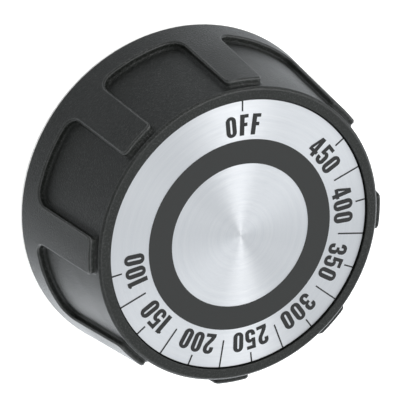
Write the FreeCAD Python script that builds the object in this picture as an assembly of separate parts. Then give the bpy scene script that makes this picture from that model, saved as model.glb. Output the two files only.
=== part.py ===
"""Oven control knob: fluted body, dial plate, hub spring ring and dial print, in millimetres.

The back plane of the knob is z = 0 and its dial faces +Z. A grip land points along +Y,
and the OFF mark of the dial stands just beside that land.
"""
import FreeCAD
import Part
import math
import os

# Body: a cone from the back edge to the front of the grip lands, with a bezel round the dial
BODY_DIAMETER = 58.74
BODY_HEIGHT = 22.8
BODY_TAPER = 3.97
BODY_EDGE_CHAMFER = 0.5
BEZEL_WIDTH = 1.95
BEZEL_EDGE_CHAMFER = 0.35

# Grip: lands with pockets between them, open to the front
LAND_COUNT = 8
LAND_ANGLE = 14.0
LAND_SETBACK = 1.1
LAND_FRONT_STEP = 1.16
LAND_CORNER_ROUND = 0.9
LAND_RIM_CHAMFER = 0.25
POCKET_DEPTH = 1.25
POCKET_BAND = 4.7
POCKET_CORNER_ROUND = 2.4
POCKET_FLOOR_CHAMFER = 0.3

# Hollow back
RIM_WIDTH = 3.3
WALL_THICKNESS = 2.4
FRONT_THICKNESS = 2.6
RIB_COUNT = 4
RIB_THICKNESS = 1.6
RIB_SETBACK = 0.6

# Hub with a D socket for a 1/4 inch shaft
SHAFT_DIAMETER = 6.35
SHAFT_FLAT_CUT = 0.81
SOCKET_CLEARANCE = 0.05
SOCKET_DEPTH = 15.5
ENTRY_CLEARANCE = 0.325
ENTRY_LENGTH = 3.0
HUB_WALL = 3.2
HUB_RECESS = 2.0
HUB_SLOT_WIDTH = 1.2
HUB_SLOT_RUN = 1.2

# Spring ring in the groove of the hub
GROOVE_DEPTH = 0.8
GROOVE_SETBACK = 2.2
RING_WIDTH = 4.8
RING_THICKNESS = 0.6
RING_GAP_ANGLE = 46.0
RING_PLAY = 0.1
RING_SIDE_PLAY = 0.1

# Dial plate in the recess of the front
PLATE_THICKNESS = 0.6
PLATE_PLAY = 0.2
PLATE_SINK = 0.4

# Print on the dial plate, placed from the plate's edge inwards
INK_THICKNESS = 0.05
PRINT_RING_SETBACK = 6.72
PRINT_RING_WIDTH = 4.1
MARK_WIDTH = 0.24
MARK_EDGE_MARGIN = 0.02
MARK_SHORT = 1.75
MARK_LONG = 4.8
MARK_COUNT = 15
MARK_FIRST_ANGLE = 53.4
MARK_STEP_FIRST = 15.3
MARK_STEP_DROP = 0.057
DIAL_TURN = 1.6

# How far a cut runs past the face that it opens
CUT_MARGIN = 1.0

# How closely an edge is told to lie on a cone or at a height, and the points of it that are tried
EDGE_TOLERANCE = 2e-3
EDGE_SAMPLES = 5

# Values that follow from the ones above
FRONT = BODY_HEIGHT
LAND_FRONT = FRONT - LAND_SETBACK
PLATE_TOP = FRONT - PLATE_SINK
PLATE_SEAT = PLATE_TOP - PLATE_THICKNESS
CAVITY_TOP = PLATE_SEAT - FRONT_THICKNESS
BODY_RADIUS = BODY_DIAMETER / 2
BEZEL_RADIUS = BODY_RADIUS - BODY_TAPER
RECESS_RADIUS = BEZEL_RADIUS - BEZEL_WIDTH
PLATE_RADIUS = RECESS_RADIUS - PLATE_PLAY
SHAFT_RADIUS = SHAFT_DIAMETER / 2
ENTRY_RADIUS = SHAFT_RADIUS + ENTRY_CLEARANCE
HUB_RADIUS = ENTRY_RADIUS + HUB_WALL
GROOVE_RADIUS = HUB_RADIUS - GROOVE_DEPTH
GROOVE_REAR = HUB_RECESS + GROOVE_SETBACK
GROOVE_FRONT = GROOVE_REAR + RING_WIDTH + 2 * RING_SIDE_PLAY
SLOT_FRONT = GROOVE_FRONT + HUB_SLOT_RUN
RIB_REAR = SLOT_FRONT + RIB_SETBACK
POCKET_INNER = BEZEL_RADIUS - WALL_THICKNESS
POCKET_OUTER = BODY_RADIUS + WALL_THICKNESS
REACH = BODY_DIAMETER


def solve_cones():
    """Slopes of the land cone and of the floor cone, in mm of radius per mm of height.

    Land cone:  radius = BODY_RADIUS - land_slope * z
    Floor cone: radius = BEZEL_RADIUS + floor_slope * (FRONT - z)
    They stand LAND_FRONT_STEP apart at the land front and POCKET_DEPTH at the pocket's rear end.
    """
    # BODY_TAPER - land_slope * z - floor_slope * (FRONT - z) = distance, at two heights z
    a1, b1, c1 = LAND_FRONT, FRONT - LAND_FRONT, BODY_TAPER - LAND_FRONT_STEP
    a2, b2, c2 = POCKET_BAND, FRONT - POCKET_BAND, BODY_TAPER - POCKET_DEPTH
    determinant = a1 * b2 - a2 * b1
    land_slope = (c1 * b2 - c2 * b1) / determinant
    floor_slope = (a1 * c2 - a2 * c1) / determinant
    return land_slope, floor_slope


LAND_SLOPE, FLOOR_SLOPE = solve_cones()


def land_radius(z):
    """Radius of the outer cone, the tops of the lands, at height z."""
    return BODY_RADIUS - LAND_SLOPE * z


def floor_radius(z):
    """Radius of the pocket floors and of the bezel's outside at height z."""
    return BEZEL_RADIUS + FLOOR_SLOPE * (FRONT - z)


def revolved(profile, angle=360.0):
    """Solid of revolution about Z of a closed profile of (radius, height) corners."""
    corners = [FreeCAD.Vector(radius, 0, height) for radius, height in profile]
    face = Part.Face(Part.makePolygon(corners + corners[:1]))
    return face.revolve(FreeCAD.Vector(0, 0, 0), FreeCAD.Vector(0, 0, 1), angle)


def turned(shape, angle):
    """Copy of a shape turned about Z by an angle in degrees."""
    copy = shape.copy()
    copy.rotate(FreeCAD.Vector(0, 0, 0), FreeCAD.Vector(0, 0, 1), angle)
    return copy


def edges_on(shape, radius_at, low, high):
    """Edges that lie on the cone radius_at(z) between two heights."""
    found = []
    for edge in shape.Edges:
        samples = edge.discretize(EDGE_SAMPLES)
        on_cone = all(abs(math.hypot(p.x, p.y) - radius_at(p.z)) < EDGE_TOLERANCE for p in samples)
        in_band = all(low - EDGE_TOLERANCE < p.z < high + EDGE_TOLERANCE for p in samples)
        if on_cone and in_band:
            found.append(edge)
    return found


def radial_edges_at(shape, z):
    """Straight edges at height z that run outwards from the axis."""
    found = []
    for edge in shape.Edges:
        start, end = edge.Vertexes[0].Point, edge.Vertexes[-1].Point
        level = max(abs(start.z - z), abs(end.z - z)) < EDGE_TOLERANCE
        run = abs(math.hypot(start.x, start.y) - math.hypot(end.x, end.y))
        if level and run > WALL_THICKNESS:
            found.append(edge)
    return found


def pocket_block():
    """Block of one pocket on +X: two flat sides through the axis and two rounded corners at its rear."""
    half_angle = math.radians((360.0 / LAND_COUNT - LAND_ANGLE) / 2)
    corners = []
    for radius, side in ((POCKET_INNER, -1), (POCKET_OUTER, -1), (POCKET_OUTER, 1), (POCKET_INNER, 1)):
        x = radius * math.cos(half_angle)
        y = side * radius * math.sin(half_angle)
        corners.append(FreeCAD.Vector(x, y, POCKET_BAND))
    face = Part.Face(Part.makePolygon(corners + corners[:1]))
    block = face.extrude(FreeCAD.Vector(0, 0, LAND_FRONT - POCKET_BAND))
    return block.makeFillet(POCKET_CORNER_ROUND, radial_edges_at(block, POCKET_BAND))


def grip_void():
    """Everything cut away outside the floor cone: the pockets and the step in front of the lands."""
    step = 360.0 / LAND_COUNT
    pocket = pocket_block()
    pockets = [turned(pocket, 90 + step * (i + 0.5)) for i in range(LAND_COUNT)]
    front = Part.makeCylinder(REACH, LAND_SETBACK + CUT_MARGIN, FreeCAD.Vector(0, 0, LAND_FRONT))
    void = front.multiFuse(pockets).removeSplitter()
    void = void.makeFillet(LAND_CORNER_ROUND, radial_edges_at(void, LAND_FRONT))
    floor = Part.makeCone(
        floor_radius(-CUT_MARGIN), floor_radius(FRONT + 2 * CUT_MARGIN), FRONT + 3 * CUT_MARGIN,
        FreeCAD.Vector(0, 0, -CUT_MARGIN))
    return void.cut(floor)


def cavity_void():
    """Hollow back round the hub, less the ribs that run from the hub to the skirt wall."""
    mouth_radius = BODY_RADIUS - RIM_WIDTH
    top_radius = floor_radius(CAVITY_TOP) - WALL_THICKNESS
    void = revolved([
        (0, -CUT_MARGIN),
        (mouth_radius, -CUT_MARGIN),
        (mouth_radius, 0),
        (top_radius, CAVITY_TOP),
        (HUB_RADIUS, CAVITY_TOP),
        (HUB_RADIUS, GROOVE_FRONT),
        (GROOVE_RADIUS, GROOVE_FRONT),
        (GROOVE_RADIUS, GROOVE_REAR),
        (HUB_RADIUS, GROOVE_REAR),
        (HUB_RADIUS, HUB_RECESS),
        (0, HUB_RECESS)])
    rib = Part.makeBox(REACH, RIB_THICKNESS, FRONT, FreeCAD.Vector(0, -RIB_THICKNESS / 2, RIB_REAR))
    step = 360.0 / RIB_COUNT
    return void.cut([turned(rib, step * (i + 0.5)) for i in range(RIB_COUNT)])


def hub_void():
    """Round entry, D socket with its flat towards -Y, and the two slots that let the hub end spring."""
    hub_end = FreeCAD.Vector(0, 0, HUB_RECESS)
    entry = Part.makeCylinder(ENTRY_RADIUS, ENTRY_LENGTH, hub_end)
    socket = Part.makeCylinder(SHAFT_RADIUS + SOCKET_CLEARANCE, SOCKET_DEPTH, hub_end)
    flat = SHAFT_RADIUS - SHAFT_FLAT_CUT + SOCKET_CLEARANCE
    round_side = Part.makeBox(
        2 * REACH, REACH, SOCKET_DEPTH, FreeCAD.Vector(-REACH, -flat, HUB_RECESS))
    slot_length = 2 * HUB_RADIUS + GROOVE_DEPTH
    slot = Part.makeBox(
        slot_length, HUB_SLOT_WIDTH, SLOT_FRONT,
        FreeCAD.Vector(-slot_length / 2, -HUB_SLOT_WIDTH / 2, 0))
    return entry.multiFuse([socket.common(round_side), slot])


def make_knob_body():
    """One moulding: fluted cone, bezel with the dial recess, hollow ribbed back and split hub."""
    body = revolved([
        (0, 0),
        (BODY_RADIUS - BODY_EDGE_CHAMFER, 0),
        (land_radius(BODY_EDGE_CHAMFER), BODY_EDGE_CHAMFER),
        (land_radius(FRONT), FRONT),
        (RECESS_RADIUS, FRONT),
        (RECESS_RADIUS, PLATE_SEAT),
        (0, PLATE_SEAT)])
    body = body.cut(grip_void())
    pocket_edges = edges_on(body, floor_radius, POCKET_BAND, LAND_FRONT)
    body = body.makeChamfer(POCKET_FLOOR_CHAMFER, pocket_edges)
    land_edges = edges_on(body, land_radius, POCKET_BAND, LAND_FRONT)
    body = body.makeChamfer(LAND_RIM_CHAMFER, land_edges)
    bezel_edge = edges_on(body, floor_radius, FRONT, FRONT)
    body = body.makeChamfer(BEZEL_EDGE_CHAMFER, bezel_edge)
    body = body.cut([cavity_void(), hub_void()])
    return body.Solids[0]


def make_dial_plate():
    """Flat metal disc, seated on the recess floor."""
    return Part.makeCylinder(PLATE_RADIUS, PLATE_THICKNESS, FreeCAD.Vector(0, 0, PLATE_SEAT))


def make_hub_spring_ring():
    """Rolled strip of spring steel round the split hub, open at a gap towards +Y."""
    inner = GROOVE_RADIUS + RING_PLAY
    outer = inner + RING_THICKNESS
    rear = GROOVE_REAR + RING_SIDE_PLAY
    front = rear + RING_WIDTH
    strip = [(inner, rear), (outer, rear), (outer, front), (inner, front)]
    return turned(revolved(strip, 360 - RING_GAP_ANGLE), 90 + RING_GAP_ANGLE / 2)


def make_dial_ring_print():
    """Printed black ring on the dial plate."""
    seat = FreeCAD.Vector(0, 0, PLATE_TOP)
    outer_radius = PLATE_RADIUS - PRINT_RING_SETBACK
    outer = Part.makeCylinder(outer_radius, INK_THICKNESS, seat)
    inner = Part.makeCylinder(outer_radius - PRINT_RING_WIDTH, INK_THICKNESS, seat)
    return outer.cut(inner)


def mark_angles():
    """Clockwise dial angles of the OFF mark and of the marks after it, which close up step by step."""
    angles = [0.0]
    angle = MARK_FIRST_ANGLE
    for i in range(MARK_COUNT):
        angles.append(angle)
        angle += MARK_STEP_FIRST - MARK_STEP_DROP * i
    return angles


def make_dial_scale_print():
    """Printed marks from the plate's edge inwards: short at the numbers, long between them."""
    end = PLATE_RADIUS - MARK_EDGE_MARGIN
    marks = []
    for i, angle in enumerate(mark_angles()):
        between_numbers = i > 0 and i % 2 == 0
        length = MARK_LONG if between_numbers else MARK_SHORT
        corner = FreeCAD.Vector(end - length, -MARK_WIDTH / 2, PLATE_TOP)
        mark = Part.makeBox(length, MARK_WIDTH, INK_THICKNESS, corner)
        marks.append(turned(mark, 90 + DIAL_TURN - angle))
    return Part.Compound(marks)


def main():
    """Build every node and write its STEP file."""
    nodes = {
        "knob_body": make_knob_body(),
        "dial_plate": make_dial_plate(),
        "hub_spring_ring": make_hub_spring_ring(),
        "dial_ring_print": make_dial_ring_print(),
        "dial_scale_print": make_dial_scale_print(),
    }
    os.makedirs("parts", exist_ok=True)
    for name, shape in nodes.items():
        if not shape.isValid():
            raise ValueError(name + " isn't a valid shape")
        shape.exportStep("parts/" + name + ".step")


if __name__ == "__main__":
    main()
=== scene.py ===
"""Oven control knob: looks, lettering and stage round the CAD model of the knob.

The knob lies on its back rim on a pale floor, with the dial up (+Z). Lengths are in metres.
"""
import math

import bmesh
import bpy
import numpy as np
from mathutils import Matrix, Vector


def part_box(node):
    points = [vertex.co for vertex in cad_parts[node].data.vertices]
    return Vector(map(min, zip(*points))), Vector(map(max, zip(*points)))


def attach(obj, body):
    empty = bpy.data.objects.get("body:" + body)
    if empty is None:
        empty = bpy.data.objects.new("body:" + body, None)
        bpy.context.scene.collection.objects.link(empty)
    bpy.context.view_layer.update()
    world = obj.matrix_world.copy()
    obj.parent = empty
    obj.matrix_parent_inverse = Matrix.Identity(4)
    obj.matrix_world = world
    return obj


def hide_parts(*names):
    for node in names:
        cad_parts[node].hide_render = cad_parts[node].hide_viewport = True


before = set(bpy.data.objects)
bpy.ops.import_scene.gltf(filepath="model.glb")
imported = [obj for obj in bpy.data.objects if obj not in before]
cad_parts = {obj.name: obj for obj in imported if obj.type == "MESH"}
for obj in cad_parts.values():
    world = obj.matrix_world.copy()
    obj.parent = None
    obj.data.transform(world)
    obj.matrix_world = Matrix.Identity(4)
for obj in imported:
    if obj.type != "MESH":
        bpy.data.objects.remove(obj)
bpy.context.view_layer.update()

bl_info = {
    "name": "Oven Control Knob",
    "version": (1, 0, 0),
    "blender": (4, 5, 0),
    "location": "3D View > Sidebar > Knob",
    "description": "Finishes, dial lettering and stage of an oven control knob",
    "category": "Object",
}

MM = 0.001

# Sizes taken from the CAD model
PLATE_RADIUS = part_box("dial_plate")[1][0]
PLATE_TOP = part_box("dial_plate")[1][2]
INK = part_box("dial_ring_print")[1][2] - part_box("dial_ring_print")[0][2]

# Corners closer than this are one corner, and edges shorter than this are dropped
WELD_DISTANCE = 1e-6
SHORTEST_EDGE = 1e-7

# Edges that turn by more than this are shaded sharp
BODY_CREASE = math.radians(30)
RING_CREASE = math.radians(40)


def linear(hex_colour):
    """Linear RGBA of an sRGB hex colour such as '#8a8a8a'."""
    srgb = np.array([int(hex_colour[i:i + 2], 16) for i in (1, 3, 5)]) / 255
    low = srgb / 12.92
    high = ((srgb + 0.055) / 1.055) ** 2.4
    return (*np.where(srgb <= 0.04045, low, high).tolist(), 1.0)


def colour_property(name, description, hex_colour):
    """Colour property whose default is an sRGB hex value."""
    return bpy.props.FloatVectorProperty(
        name=name, description=description, subtype="COLOR", size=4, min=0, max=1,
        default=linear(hex_colour))


def length_property(name, description, millimetres):
    """Length property whose default is given in millimetres."""
    return bpy.props.FloatProperty(
        name=name, description=description, unit="LENGTH", subtype="DISTANCE", min=0,
        default=millimetres * MM)


class KnobFinishes(bpy.types.PropertyGroup):
    """Colours of the knob's materials and widths of their patterns."""

    moulding: colour_property("Moulding", "Colour of the black moulded body", "#131512")
    # Paler colour: of the grain's specks, and of worn edges, where it is painted on as a highlight
    edge: colour_property("Moulded edges", "Colour of edges that hands have rubbed", "#767777")
    plate: colour_property("Dial plate", "Colour of the spun aluminium", "#f1f2f4")
    # Dark colour painted on the plate's outer rim as the shadow of the gap between plate and bezel
    plate_gap_shadow: colour_property("Plate edge", "Colour of the plate's sheared edge", "#1a1a1a")
    ink: colour_property("Ink", "Colour of the printed ring", "#1d1e1d")
    fine_ink: colour_property("Fine ink", "Colour of the figures and marks, in thicker ink", "#171717")
    steel: colour_property("Spring steel", "Colour of the ring round the hub", "#9b9a96")
    grain: length_property("Moulded grain", "Width of the grain of the moulding", 0.3)
    spin_line: length_property("Spin line", "Spacing of the turning lines of the plate", 0.25)


class KnobLettering(bpy.types.PropertyGroup):
    """Sizes of the figures on the dial."""

    height: length_property("Height", "Height of the figures", 3.55)
    width: length_property("Width", "Width of a round figure such as 0", 1.83)
    gap: length_property("Gap", "Space between two figures", 0.45)
    foot_radius: length_property("Foot radius", "Radius of the circle that the figures stand on", 17.33)


class KnobStage(bpy.types.PropertyGroup):
    """Floor and camera."""

    floor_size: length_property("Floor", "Side of the floor", 3000)
    floor_colour: colour_property("Floor colour", "Colour of the pale floor", "#f4f4f2")
    focal_length: bpy.props.FloatProperty(
        name="Focal length", description="Focal length of the camera", unit="CAMERA", default=231.96)
    distance: length_property("Camera distance", "From the camera to the point it looks at", 427.2)


def add_node(tree, kind, settings=None, inputs=None):
    """Add a node: settings are its attributes, inputs its values or the sockets that feed it."""
    node = tree.nodes.new(kind)
    for name, value in (settings or {}).items():
        setattr(node, name, value)
    for name, value in (inputs or {}).items():
        if isinstance(value, bpy.types.NodeSocket):
            tree.links.new(value, node.inputs[name])
        else:
            node.inputs[name].default_value = value
    return node


def new_material(name):
    """Empty node material with its tree and its output node."""
    material = bpy.data.materials.new(name)
    material.use_nodes = True
    tree = material.node_tree
    tree.nodes.clear()
    output = add_node(tree, "ShaderNodeOutputMaterial")
    return material, tree, output


def about_axis(tree, place):
    """Distance of a place from the knob's axis, and the unit vector from the axis to it."""
    flat = add_node(tree, "ShaderNodeVectorMath", {"operation": "MULTIPLY"}, {0: place, 1: (1, 1, 0)})
    across = flat.outputs["Vector"]
    radius = add_node(tree, "ShaderNodeVectorMath", {"operation": "LENGTH"}, {0: across})
    heading = add_node(tree, "ShaderNodeVectorMath", {"operation": "NORMALIZE"}, {0: across})
    return radius.outputs["Value"], heading.outputs["Vector"]


# Moulding: width of its cloudy shade, depth of its grain, roundness of its edges, how near the other side
# of an edge has to be for it to be worn and painted paler as a highlight, and how far round a hollow its
# walls are looked for, for its painted shade
CLOUD_WIDTH = 9 * MM
GRAIN_DEPTH = 0.09 * MM
EDGE_ROUND = 0.32 * MM
EDGE_REACH = 0.3 * MM
HOLLOW_REACH = 4 * MM

# Edges within the first of these distances from the axis get no wear and no painted highlight, and edges past
# the second get them in full
HIGHLIGHT_AND_WEAR_START_RADIUS = PLATE_RADIUS + 0.6 * MM
HIGHLIGHT_AND_WEAR_FULL_RADIUS = PLATE_RADIUS + 3.2 * MM

# Specular level of the open surface and of hollows, where a low level paints their shade, and what rubbing
# adds to it
OPEN_GLOSS = 0.5
HOLLOW_GLOSS = 0.12
RUBBED_GLOSS = 0.5


def black_moulding(finishes):
    """Black phenolic, compression moulded in a lightly blasted mould.

    It is satin, with a fine sandy grain. Edges that hands rub are glossier, and are painted paler as a
    highlight. The walls and ledges of the pockets have a low specular level, lowest down in a hollow,
    which paints their shade. The real grain is likely about 0.1 mm wide, too fine to show, so it is
    """
    material, tree, output = new_material("black_phenolic_satin_moulded")
    place = add_node(tree, "ShaderNodeTexCoord").outputs["Object"]
    radius, heading = about_axis(tree, place)

    # Colour: cloudy black with pale specks of grain
    grain = add_node(tree, "ShaderNodeTexNoise", inputs={
        "Vector": place, "Scale": 1 / finishes.grain, "Detail": 3.0, "Roughness": 0.65})
    cloud = add_node(tree, "ShaderNodeTexNoise", inputs={
        "Vector": place, "Scale": 1 / CLOUD_WIDTH, "Detail": 4.0})
    tint = add_node(tree, "ShaderNodeMixRGB", {"blend_type": "MULTIPLY"}, {
        "Fac": 0.4, "Color1": finishes.moulding, "Color2": cloud.outputs["Fac"]})
    speck = add_node(tree, "ShaderNodeMapRange", inputs={
        "Value": grain.outputs["Fac"], "From Min": 0.5, "From Max": 0.7, "To Max": 0.12})
    sandy = add_node(tree, "ShaderNodeMixRGB", inputs={
        "Fac": speck.outputs["Result"], "Color1": tint.outputs["Color"], "Color2": finishes.edge})

    # Worn edges, painted paler as a highlight: where the material just behind the surface is thin, away from
    # the dial
    behind = add_node(
        tree, "ShaderNodeAmbientOcclusion", {"inside": True, "only_local": True, "samples": 8},
        {"Distance": EDGE_REACH})
    thin = add_node(tree, "ShaderNodeMapRange", inputs={
        "Value": behind.outputs["AO"], "From Min": 0.92, "From Max": 0.62})
    in_reach = add_node(tree, "ShaderNodeMapRange", inputs={
        "Value": radius, "From Min": HIGHLIGHT_AND_WEAR_START_RADIUS, "From Max": HIGHLIGHT_AND_WEAR_FULL_RADIUS})
    worn_and_highlit = add_node(tree, "ShaderNodeMath", {"operation": "MULTIPLY"}, {
        0: thin.outputs["Result"], 1: in_reach.outputs["Result"]})
    colour = add_node(tree, "ShaderNodeMixRGB", inputs={
        "Fac": worn_and_highlit.outputs["Value"], "Color1": sandy.outputs["Color"], "Color2": finishes.edge})

    # Gloss: a low specular level paints shade on walls and ledges, which don't face outwards, and most of all
    # down in a hollow
    open_sky = add_node(
        tree, "ShaderNodeAmbientOcclusion", {"only_local": True, "samples": 8}, {"Distance": HOLLOW_REACH})
    hollow = add_node(tree, "ShaderNodeMapRange", inputs={
        "Value": open_sky.outputs["AO"], "From Min": 0.92, "From Max": 0.72, "To Min": 0.2})
    true_normal = add_node(tree, "ShaderNodeNewGeometry").outputs["True Normal"]
    facing = add_node(tree, "ShaderNodeVectorMath", {"operation": "DOT_PRODUCT"}, {
        0: true_normal, 1: heading})
    wall = add_node(tree, "ShaderNodeMapRange", inputs={
        "Value": facing.outputs["Value"], "From Min": 0.95, "From Max": 0.75})
    painted_hollow_shade = add_node(tree, "ShaderNodeMath", {"operation": "MULTIPLY"}, {
        0: hollow.outputs["Result"], 1: wall.outputs["Result"]})
    gloss = add_node(tree, "ShaderNodeMapRange", inputs={
        "Value": painted_hollow_shade.outputs["Value"], "To Min": OPEN_GLOSS, "To Max": HOLLOW_GLOSS})
    polish = add_node(tree, "ShaderNodeMath", {"operation": "MULTIPLY_ADD"}, {
        0: worn_and_highlit.outputs["Value"], 1: RUBBED_GLOSS, 2: gloss.outputs["Result"]})
    rough = add_node(tree, "ShaderNodeMapRange", inputs={
        "Value": cloud.outputs["Fac"], "From Min": 0.3, "From Max": 0.7, "To Min": 0.28, "To Max": 0.38})

    # Relief: softly rounded edges under the grain
    round_edge = add_node(tree, "ShaderNodeBevel", {"samples": 8}, {"Radius": EDGE_ROUND})
    bump = add_node(tree, "ShaderNodeBump", inputs={
        "Strength": 1.0, "Distance": GRAIN_DEPTH, "Height": grain.outputs["Fac"],
        "Normal": round_edge.outputs["Normal"]})
    shader = add_node(tree, "ShaderNodeBsdfPrincipled", inputs={
        "Base Color": colour.outputs["Color"], "Roughness": rough.outputs["Result"],
        "IOR": 1.5, "Specular IOR Level": polish.outputs["Value"], "Normal": bump.outputs["Normal"]})
    tree.links.new(shader.outputs["BSDF"], output.inputs["Surface"])
    return material


# Dial plate: scratches in one radian of turning, turning lines in one visible ring, the distances from
# the axis between which the rings fade, and those between which a painted shadow of the gap round the plate
# darkens its rim
SCRATCHES_PER_RADIAN = 5.0
LINES_PER_RING = 3
CLEAR_RING_RADIUS = 1 * MM
FAINT_RING_RADIUS = 8 * MM
BRIGHT_RADIUS = PLATE_RADIUS - 0.06 * MM
GAP_SHADOW_RADIUS = PLATE_RADIUS - 0.02 * MM


def spun_aluminium(finishes):
    """Aluminium sheet, turned under an abrasive pad.

    Fine broken scratches run round the centre, so light spreads across them into a fan, with faint
    rings that are clearest near the centre. The real lines are likely about 0.1 mm apart, too fine to
    show, so they are drawn at more than twice that.
    """
    material, tree, output = new_material("aluminium_circular_spun")
    place = add_node(tree, "ShaderNodeTexCoord").outputs["Object"]
    radius, heading = about_axis(tree, place)

    # Scratches: noise that is stretched along the turning direction
    arc = add_node(tree, "ShaderNodeVectorMath", {"operation": "SCALE"}, {
        0: heading, "Scale": SCRATCHES_PER_RADIAN})
    pitch = add_node(tree, "ShaderNodeMath", {"operation": "DIVIDE"}, {0: radius, 1: finishes.spin_line})
    rise = add_node(tree, "ShaderNodeCombineXYZ", inputs={"Z": pitch.outputs["Value"]})
    around = add_node(tree, "ShaderNodeVectorMath", {"operation": "ADD"}, {
        0: arc.outputs["Vector"], 1: rise.outputs["Vector"]})
    scratches = add_node(tree, "ShaderNodeTexNoise", inputs={
        "Vector": around.outputs["Vector"], "Scale": 1.0, "Detail": 3.0, "Roughness": 0.7})

    # Rings: noise of the distance from the axis alone
    turn = add_node(tree, "ShaderNodeMath", {"operation": "DIVIDE"}, {
        0: radius, 1: LINES_PER_RING * finishes.spin_line})
    rings = add_node(tree, "ShaderNodeTexNoise", {"noise_dimensions": "1D"}, {
        "W": turn.outputs["Value"], "Scale": 1.0, "Detail": 2.0, "Roughness": 0.6})
    ring_depth = add_node(tree, "ShaderNodeMapRange", inputs={
        "Value": radius, "From Min": CLEAR_RING_RADIUS, "From Max": FAINT_RING_RADIUS,
        "To Min": 1.0, "To Max": 0.3})

    ringed = add_node(tree, "ShaderNodeMixRGB", {"blend_type": "OVERLAY"}, {
        "Fac": ring_depth.outputs["Result"], "Color1": finishes.plate, "Color2": rings.outputs["Fac"]})
    tint = add_node(tree, "ShaderNodeMixRGB", {"blend_type": "MULTIPLY"}, {
        "Fac": 0.13, "Color1": ringed.outputs["Color"], "Color2": scratches.outputs["Fac"]})
    # Painted shadow: the plate darkens at its outer rim, as shade in the gap between plate and bezel
    shadow_painted = add_node(tree, "ShaderNodeMapRange", inputs={
        "Value": radius, "From Min": BRIGHT_RADIUS, "From Max": GAP_SHADOW_RADIUS})
    colour = add_node(tree, "ShaderNodeMixRGB", inputs={
        "Fac": shadow_painted.outputs["Result"], "Color1": tint.outputs["Color"], "Color2": finishes.plate_gap_shadow})
    rough = add_node(tree, "ShaderNodeMapRange", inputs={
        "Value": scratches.outputs["Fac"], "From Min": 0.3, "From Max": 0.7, "To Min": 0.34, "To Max": 0.48})
    tangent = add_node(tree, "ShaderNodeTangent", {"direction_type": "RADIAL", "axis": "Z"})
    shader = add_node(tree, "ShaderNodeBsdfPrincipled", inputs={
        "Base Color": colour.outputs["Color"], "Metallic": 1.0, "Roughness": rough.outputs["Result"],
        "Anisotropic": 0.8, "Anisotropic Rotation": 0.25, "Tangent": tangent.outputs["Tangent"]})
    tree.links.new(shader.outputs["BSDF"], output.inputs["Surface"])
    return material


# Width of the print screen's mesh, which is likely about 0.1 mm, drawn coarse enough to show
SCREEN_MESH = 0.25 * MM


def screen_ink(name, colour):
    """Black ink, screen printed on metal: a flat dark film with a low sheen and a faint mesh texture."""
    material, tree, output = new_material(name)
    place = add_node(tree, "ShaderNodeTexCoord").outputs["Object"]
    mesh = add_node(tree, "ShaderNodeTexNoise", inputs={
        "Vector": place, "Scale": 1 / SCREEN_MESH, "Detail": 2.0})
    tint = add_node(tree, "ShaderNodeMixRGB", {"blend_type": "MULTIPLY"}, {
        "Fac": 0.25, "Color1": colour, "Color2": mesh.outputs["Fac"]})
    shader = add_node(tree, "ShaderNodeBsdfPrincipled", inputs={
        "Base Color": tint.outputs["Color"], "Roughness": 0.55})
    tree.links.new(shader.outputs["BSDF"], output.inputs["Surface"])
    return material


# Streaks of the rolled strip: a length, and how many streaks it holds along X, Y and Z, which makes them
# about 5 mm long round the ring and 0.25 mm wide across the strip
STREAK_SIZE = 1 * MM
STREAKS_ALONG = (0.2, 0.2, 4.0)


def spring_steel(finishes):
    """Rolled spring steel strip: grey metal with fine lines along the strip.

    The real lines are likely finer than 0.1 mm, too fine to show, so they are drawn coarser.
    """
    material, tree, output = new_material("spring_steel_rolled")
    place = add_node(tree, "ShaderNodeTexCoord").outputs["Object"]
    lines = add_node(tree, "ShaderNodeMapping", inputs={"Vector": place, "Scale": STREAKS_ALONG})
    streak = add_node(tree, "ShaderNodeTexNoise", inputs={
        "Vector": lines.outputs["Vector"], "Scale": 1 / STREAK_SIZE, "Detail": 3.0})
    rough = add_node(tree, "ShaderNodeMapRange", inputs={
        "Value": streak.outputs["Fac"], "From Min": 0.3, "From Max": 0.7, "To Min": 0.28, "To Max": 0.42})
    shader = add_node(tree, "ShaderNodeBsdfPrincipled", inputs={
        "Base Color": finishes.steel, "Metallic": 1.0, "Roughness": rough.outputs["Result"]})
    tree.links.new(shader.outputs["BSDF"], output.inputs["Surface"])
    return material


def wear(piece, material):
    """Give a piece one material."""
    piece.data.materials.clear()
    piece.data.materials.append(material)


def merged_copy(node_name, piece_name, crease):
    """Copy of a CAD node with its corners joined and its rounded edges shaded smooth, in its place."""
    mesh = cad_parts[node_name].data.copy()
    mesh.name = piece_name
    shape = bmesh.new()
    shape.from_mesh(mesh)
    bmesh.ops.remove_doubles(shape, verts=shape.verts, dist=WELD_DISTANCE)
    bmesh.ops.dissolve_degenerate(shape, edges=shape.edges, dist=SHORTEST_EDGE)
    for edge in shape.edges:
        edge.smooth = len(edge.link_faces) == 2 and edge.calc_face_angle() < crease
    for face in shape.faces:
        face.smooth = True
    shape.to_mesh(mesh)
    shape.free()
    piece = bpy.data.objects.new(piece_name, mesh)
    bpy.context.scene.collection.objects.link(piece)
    weighted = piece.modifiers.new("edge_shading", "WEIGHTED_NORMAL")
    weighted.keep_sharp = True
    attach(piece, "root")
    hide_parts(node_name)
    return piece


# Box that the outlines of the figures are drawn in, before they get their real size
FIGURE_WIDTH = 1.75
FIGURE_HEIGHT = 3.4


def ellipse_arc(centre, radii, start, end, count=9):
    """Points on an ellipse from one angle to another, in degrees: centre + radii * (cos, sin)."""
    angle = np.radians(np.linspace(start, end, count))
    return np.column_stack((centre[0] + radii[0] * np.cos(angle), centre[1] + radii[1] * np.sin(angle)))


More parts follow.
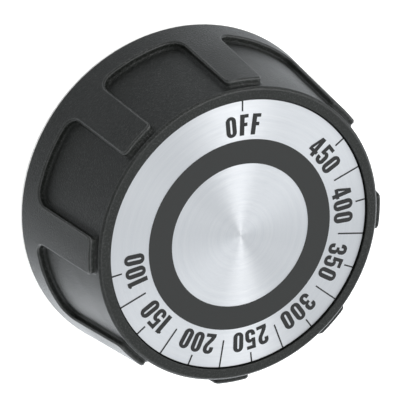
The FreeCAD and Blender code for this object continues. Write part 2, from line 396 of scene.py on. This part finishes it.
def rounded_box(low, high, radii):
    """Closed outline of a box whose corners are quarter ellipses."""
    (x0, y0), (x1, y1), (rx, ry) = low, high, radii
    return np.vstack((
        ellipse_arc((x1 - rx, y0 + ry), radii, -90, 0),
        ellipse_arc((x1 - rx, y1 - ry), radii, 0, 90),
        ellipse_arc((x0 + rx, y1 - ry), radii, 90, 180),
        ellipse_arc((x0 + rx, y0 + ry), radii, 180, 270)))


def figure_outlines():
    """Closed outlines of each figure in a box FIGURE_WIDTH by FIGURE_HEIGHT: the outside, then holes.

    The figures are narrow and bold. Bowls are quarter ellipses and stems are straight.
    """
    zero = [
        rounded_box((0, 0), (FIGURE_WIDTH, FIGURE_HEIGHT), (0.82, 0.85)),
        rounded_box((0.70, 0.52), (1.05, 2.88), (0.17, 0.28))]
    one = [np.array([
        (0.2, 0), (0.92, 0), (0.92, 3.4), (0.32, 3.4), (0.2, 3.3), (0, 3.22), (0, 2.86), (0.2, 2.86)])]
    two = [np.vstack((
        [(0, 0), (1.7, 0), (1.7, 0.56), (0.78, 0.56), (0.95, 0.95), (1.55, 1.75)],
        ellipse_arc((0.95, 2.3), (0.8, 0.5), -20, 0, 3),
        ellipse_arc((1.0, 2.6), (0.75, 0.8), 0, 90),
        ellipse_arc((0.75, 2.6), (0.75, 0.8), 90, 180),
        [(0, 2.25), (0.64, 2.25)],
        ellipse_arc((0.865, 2.62), (0.225, 0.24), 180, 0),
        [(1.09, 2.35), (0.98, 2.0), (0.25, 1.05), (0, 0.5)]))]
    three = [np.vstack((
        ellipse_arc((0.75, 0.8), (0.75, 0.8), 180, 270),
        ellipse_arc((1.0, 0.8), (0.75, 0.8), 270, 360),
        ellipse_arc((1.2, 1.25), (0.55, 0.5), 0, 70, 5),
        ellipse_arc((1.17, 2.25), (0.55, 0.5), -70, 0, 5),
        ellipse_arc((0.97, 2.6), (0.75, 0.8), 0, 90),
        ellipse_arc((0.75, 2.6), (0.75, 0.8), 90, 180),
        [(0, 2.35), (0.64, 2.35)],
        ellipse_arc((0.855, 2.64), (0.215, 0.22), 180, 0),
        ellipse_arc((0.82, 2.25), (0.25, 0.26), 0, -90, 5),
        [(0.58, 1.99), (0.58, 1.5)],
        ellipse_arc((0.84, 1.24), (0.25, 0.26), 90, 0, 5),
        ellipse_arc((0.875, 0.76), (0.215, 0.22), 0, -180),
        [(0.66, 1.05), (0, 1.05)]))]
    four = [
        np.array([
            (0.86, 0), (1.5, 0), (1.5, 0.62), (1.75, 0.62), (1.75, 1.16), (1.5, 1.16), (1.5, 3.4),
            (0.74, 3.4), (0, 1.2), (0, 0.62), (0.86, 0.62)]),
        np.array([(0.86, 1.16), (0.86, 2.5), (0.47, 1.16)])]
    five = [np.vstack((
        ellipse_arc((0.75, 0.8), (0.75, 0.8), 180, 270),
        ellipse_arc((1.0, 0.8), (0.75, 0.8), 270, 360),
        ellipse_arc((1.05, 1.5), (0.7, 0.76), 0, 90),
        [(0.9, 2.26), (0.64, 2.12), (0.64, 2.84), (1.62, 2.84), (1.62, 3.4)],
        [(0.06, 3.4), (0.06, 1.55), (0.66, 1.55)],
        ellipse_arc((0.875, 1.5), (0.215, 0.22), 160, 0),
        ellipse_arc((0.875, 0.76), (0.215, 0.22), 0, -180),
        [(0.66, 1.05), (0, 1.05)]))]
    letter_f = [np.array([
        (0.2, 0), (0.95, 0), (0.95, 1.46), (1.46, 1.46), (1.46, 2.02), (0.95, 2.02), (0.95, 2.84),
        (1.62, 2.84), (1.62, 3.4), (0.2, 3.4)])]
    return {"0": zero, "O": zero, "1": one, "2": two, "3": three, "4": four, "5": five, "F": letter_f}


def filled_outline(outlines, scale, thickness):
    """Corners and faces of a flat figure: its outlines filled by a flat curve, with a thickness."""
    curve = bpy.data.curves.new("figure", "CURVE")
    curve.dimensions = "2D"
    curve.fill_mode = "BOTH"
    curve.extrude = thickness / 2
    for outline in outlines:
        points = np.zeros((len(outline), 4))
        points[:, :2] = outline * scale
        spline = curve.splines.new("POLY")
        spline.points.add(len(outline) - 1)
        spline.points.foreach_set("co", points.ravel())
        spline.use_cyclic_u = True
    holder = bpy.data.objects.new("figure", curve)
    mesh = bpy.data.meshes.new_from_object(holder)
    corners = np.zeros(len(mesh.vertices) * 3)
    mesh.vertices.foreach_get("co", corners)
    faces = [tuple(polygon.vertices) for polygon in mesh.polygons]
    bpy.data.objects.remove(holder)
    bpy.data.curves.remove(curve)
    bpy.data.meshes.remove(mesh)
    return corners.reshape(-1, 3), faces


# Dial words with the clockwise angle of their middle from the OFF mark, and the dial's turn, in degrees
DIAL_TURN = 1.6
DIAL_WORDS = [
    ("OFF", 0.5), ("450", 52.9), ("400", 83.7), ("350", 114.3), ("300", 145.1),
    ("250", 173.7), ("200", 203.7), ("150", 233.1), ("100", 262.1)]


def dial_figures_mesh(lettering):
    """Mesh of all the dial's figures: each stands on the foot circle, turned about the axis to its place.

    A word is laid out along a straight line, centred, and the distance along the line is then taken
    as an arc through the middle of the figures.
    """
    scale = np.array([lettering.width / FIGURE_WIDTH, lettering.height / FIGURE_HEIGHT])
    shapes = {}
    for figure, outlines in figure_outlines().items():
        shapes[figure] = filled_outline(outlines, scale, INK)
    corners, faces, count = [], [], 0
    for word, middle in DIAL_WORDS:
        widths = [shapes[figure][0][:, 0].max() for figure in word]
        edge = -(sum(widths) + lettering.gap * (len(word) - 1)) / 2
        for figure, width in zip(word, widths):
            points, polygons = shapes[figure]
            run = (edge + width / 2) / (lettering.foot_radius + lettering.height / 2)
            angle = math.radians(DIAL_TURN - middle) - run
            x = points[:, 0] - width / 2
            y = points[:, 1] + lettering.foot_radius
            z = points[:, 2] + PLATE_TOP + INK / 2
            turned_x = x * math.cos(angle) - y * math.sin(angle)
            turned_y = x * math.sin(angle) + y * math.cos(angle)
            corners.append(np.column_stack((turned_x, turned_y, z)))
            faces += [tuple(corner + count for corner in polygon) for polygon in polygons]
            count += len(points)
            edge += width + lettering.gap
    mesh = bpy.data.meshes.new("dial_figures")
    mesh.from_pydata(np.vstack(corners).tolist(), [], faces)
    shape = bmesh.new()
    shape.from_mesh(mesh)
    bmesh.ops.remove_doubles(shape, verts=shape.verts, dist=WELD_DISTANCE)
    bmesh.ops.recalc_face_normals(shape, faces=shape.faces)
    shape.to_mesh(mesh)
    shape.free()
    return mesh


class KNOB_OT_body(bpy.types.Operator):
    """Make the moulded body's piece from its CAD solid, with soft edges and a satin black finish."""

    bl_idname = "knob.body"
    bl_label = "Moulded body"

    def execute(self, context):
        piece = merged_copy("knob_body", "moulded_body", BODY_CREASE)
        wear(piece, black_moulding(context.scene.knob_finishes))
        return {"FINISHED"}


class KNOB_OT_dial_plate(bpy.types.Operator):
    """Give the dial plate its spun aluminium."""

    bl_idname = "knob.dial_plate"
    bl_label = "Dial plate"

    def execute(self, context):
        wear(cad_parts["dial_plate"], spun_aluminium(context.scene.knob_finishes))
        return {"FINISHED"}


class KNOB_OT_spring_ring(bpy.types.Operator):
    """Make the hub's spring ring from its CAD solid, in rolled steel."""

    bl_idname = "knob.spring_ring"
    bl_label = "Spring ring"

    def execute(self, context):
        piece = merged_copy("hub_spring_ring", "spring_ring", RING_CREASE)
        wear(piece, spring_steel(context.scene.knob_finishes))
        return {"FINISHED"}


class KNOB_OT_dial_print(bpy.types.Operator):
    """Print the dial: ink on the ring and the marks, and the word OFF and the numbers as thin figures."""

    bl_idname = "knob.dial_print"
    bl_label = "Dial print"

    def execute(self, context):
        finishes = context.scene.knob_finishes
        fine_ink = screen_ink("black_screen_ink_fine", finishes.fine_ink)
        wear(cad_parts["dial_ring_print"], screen_ink("black_screen_ink", finishes.ink))
        wear(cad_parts["dial_scale_print"], fine_ink)
        piece = bpy.data.objects.new("dial_figures", dial_figures_mesh(context.scene.knob_lettering))
        context.scene.collection.objects.link(piece)
        wear(piece, fine_ink)
        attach(piece, "root")
        return {"FINISHED"}


# Where the camera looks and from where: the photograph's view of the knob, with angles in degrees
CAMERA_AIM = Vector((-1.66, 2.20, 10.70)) * MM
CAMERA_AZIMUTH = 139.67
CAMERA_ELEVATION = 56.10
CAMERA_ROLL = 127.13

# Width of the camera's sensor in millimetres, and the nearest and farthest distance that it shows
SENSOR_WIDTH = 36
CAMERA_RANGE = (0.01, 20)

# Soft lights: direction from the knob, width and height in metres, and power in watts. The floor light
# doesn't show in reflections
LIGHT_DISTANCE = 0.9
SOFT_LIGHTS = {
    "floor_light": ((0.1, -0.1, 1), (1.6, 1.6), 15),
    "fan_light": ((0.335, 0.5, 0.75), (0.4, 0.4), 3.1),
    "side_light": ((0.8, 0.05, 0.6), (0.5, 0.5), 0.5),
    "edge_light": ((-0.5, 0.2, 0.85), (0.2, 0.2), 0.5)}

# Glow of the floor, which keeps the shade at the knob's foot faint
FLOOR_GLOW = 0.35

# Surroundings: brightness on the camera's side and on the far side, above and below the horizon
SKY_COLOUR = (0.96, 1.0, 1.035, 1.0)
ABOVE_LEVELS = (0.35, 0.80)
BELOW_LEVELS = (0.45, 1.08)
HORIZON_BLUR = 0.15

# The far side and the white panel there: azimuth, and cosines from it at which they fade in and are full
FAR_SIDE_AZIMUTH = -55
FAR_SIDE_COSINES = (-0.6, 0.5)
PANEL_AZIMUTH = -74
PANEL_COSINES = (0.35, 0.65)
PANEL_LEVEL = 1.0


def direction(azimuth, elevation):
    """Unit vector at an angle round from +X and an angle above the floor, in degrees."""
    a, e = math.radians(azimuth), math.radians(elevation)
    return Vector((math.cos(e) * math.cos(a), math.cos(e) * math.sin(a), math.sin(e)))


def studio_floor(context, settings):
    """Plain pale sheet under the knob, which glows a little and doesn't show in reflections."""
    half = settings.floor_size / 2
    corners = [(-half, -half, 0), (half, -half, 0), (half, half, 0), (-half, half, 0)]
    mesh = bpy.data.meshes.new("floor")
    mesh.from_pydata(corners, [], [(0, 1, 2, 3)])
    floor = bpy.data.objects.new("floor", mesh)
    context.scene.collection.objects.link(floor)
    material, tree, output = new_material("pale_paper_floor")
    shader = add_node(tree, "ShaderNodeBsdfPrincipled", inputs={
        "Base Color": settings.floor_colour, "Roughness": 0.9, "Specular IOR Level": 0.1,
        "Emission Color": settings.floor_colour, "Emission Strength": FLOOR_GLOW})
    tree.links.new(shader.outputs["BSDF"], output.inputs["Surface"])
    wear(floor, material)
    floor.visible_glossy = False


def soft_light(context, name, towards, size, power):
    """Rectangular soft light in a direction from the knob, facing it."""
    lamp = bpy.data.lights.new(name, "AREA")
    lamp.shape = "RECTANGLE"
    lamp.size, lamp.size_y = size
    lamp.energy = power
    light = bpy.data.objects.new(name, lamp)
    heading = Vector(towards).normalized()
    light.location = heading * LIGHT_DISTANCE
    light.rotation_euler = heading.to_track_quat("Z", "Y").to_euler()
    context.scene.collection.objects.link(light)
    return light


def studio_world():
    """Cool, soft surroundings: dim on the camera's side, brighter on the far side, with a low panel there."""
    world = bpy.data.worlds.new("studio")
    world.use_nodes = True
    tree = world.node_tree
    tree.nodes.clear()
    smooth = {"interpolation_type": "SMOOTHSTEP"}
    ray = add_node(tree, "ShaderNodeTexCoord").outputs["Generated"]
    across = add_node(tree, "ShaderNodeVectorMath", {"operation": "DOT_PRODUCT"}, {
        0: ray, 1: direction(FAR_SIDE_AZIMUTH, 0)})
    sides = {
        "Value": across.outputs["Value"], "From Min": FAR_SIDE_COSINES[0], "From Max": FAR_SIDE_COSINES[1]}
    above = add_node(tree, "ShaderNodeMapRange", smooth, {
        **sides, "To Min": ABOVE_LEVELS[0], "To Max": ABOVE_LEVELS[1]})
    below = add_node(tree, "ShaderNodeMapRange", smooth, {
        **sides, "To Min": BELOW_LEVELS[0], "To Max": BELOW_LEVELS[1]})
    towards_panel = add_node(tree, "ShaderNodeVectorMath", {"operation": "DOT_PRODUCT"}, {
        0: ray, 1: direction(PANEL_AZIMUTH, 0)})
    panel = add_node(tree, "ShaderNodeMapRange", smooth, {
        "Value": towards_panel.outputs["Value"],
        "From Min": PANEL_COSINES[0], "From Max": PANEL_COSINES[1], "To Max": PANEL_LEVEL})
    low = add_node(tree, "ShaderNodeMath", {"operation": "ADD"}, {
        0: below.outputs["Result"], 1: panel.outputs["Result"]})
    height = add_node(tree, "ShaderNodeSeparateXYZ", inputs={"Vector": ray})
    side = add_node(tree, "ShaderNodeMapRange", inputs={
        "Value": height.outputs["Z"], "From Min": -HORIZON_BLUR, "From Max": HORIZON_BLUR})
    level = add_node(tree, "ShaderNodeMix", {"data_type": "FLOAT"}, {
        "Factor": side.outputs["Result"], "A": low.outputs["Value"], "B": above.outputs["Result"]})
    background = add_node(tree, "ShaderNodeBackground", inputs={
        "Color": SKY_COLOUR, "Strength": level.outputs["Result"]})
    output = add_node(tree, "ShaderNodeOutputWorld")
    tree.links.new(background.outputs["Background"], output.inputs["Surface"])
    return world


def studio_camera(context, settings):
    """Camera at the photograph's viewing angle: aimed at the knob, then rolled about its own axis."""
    camera_data = bpy.data.cameras.new("camera")
    camera_data.sensor_width = SENSOR_WIDTH
    camera_data.lens = settings.focal_length
    camera_data.clip_start, camera_data.clip_end = CAMERA_RANGE
    camera = bpy.data.objects.new("camera", camera_data)
    back = direction(CAMERA_AZIMUTH, CAMERA_ELEVATION)
    aimed = (-back).to_track_quat("-Z", "Y").to_matrix()
    rolled = aimed @ Matrix.Rotation(math.radians(CAMERA_ROLL), 3, "Z")
    camera.matrix_world = Matrix.Translation(CAMERA_AIM + back * settings.distance) @ rolled.to_4x4()
    context.scene.collection.objects.link(camera)
    context.scene.camera = camera


class KNOB_OT_stage(bpy.types.Operator):
    """Set a plain pale floor, soft studio light and the camera."""

    bl_idname = "knob.stage"
    bl_label = "Stage"

    def execute(self, context):
        settings = context.scene.knob_stage
        studio_floor(context, settings)
        context.scene.world = studio_world()
        for name, (towards, size, power) in SOFT_LIGHTS.items():
            light = soft_light(context, name, towards, size, power)
            light.visible_glossy = name != "floor_light"
        studio_camera(context, settings)
        context.scene.view_settings.view_transform = "Standard"
        return {"FINISHED"}


class KNOB_PT_panel(bpy.types.Panel):
    """Panel in the sidebar with the knob's pieces and settings."""

    bl_idname = "KNOB_PT_panel"
    bl_label = "Oven Control Knob"
    bl_space_type = "VIEW_3D"
    bl_region_type = "UI"
    bl_category = "Knob"

    def draw(self, context):
        for operator in OPERATORS:
            self.layout.operator(operator.bl_idname)
        for name, group in GROUPS.items():
            settings = getattr(context.scene, name)
            for setting in group.__annotations__:
                self.layout.prop(settings, setting)


GROUPS = {"knob_finishes": KnobFinishes, "knob_lettering": KnobLettering, "knob_stage": KnobStage}
OPERATORS = (KNOB_OT_body, KNOB_OT_dial_plate, KNOB_OT_spring_ring, KNOB_OT_dial_print, KNOB_OT_stage)


def register():
    """Register the settings, operators and panel."""
    for name, group in GROUPS.items():
        bpy.utils.register_class(group)
        setattr(bpy.types.Scene, name, bpy.props.PointerProperty(type=group))
    for operator in OPERATORS:
        bpy.utils.register_class(operator)
    bpy.utils.register_class(KNOB_PT_panel)


def unregister():
    """Take away what register added."""
    bpy.utils.unregister_class(KNOB_PT_panel)
    for operator in reversed(OPERATORS):
        bpy.utils.unregister_class(operator)
    for name, group in GROUPS.items():
        delattr(bpy.types.Scene, name)
        bpy.utils.unregister_class(group)


def main():
    """Make the pieces and the stage."""
    register()
    bpy.ops.knob.body()
    bpy.ops.knob.dial_plate()
    bpy.ops.knob.spring_ring()
    bpy.ops.knob.dial_print()
    bpy.ops.knob.stage()


if __name__ == "__main__":
    main()
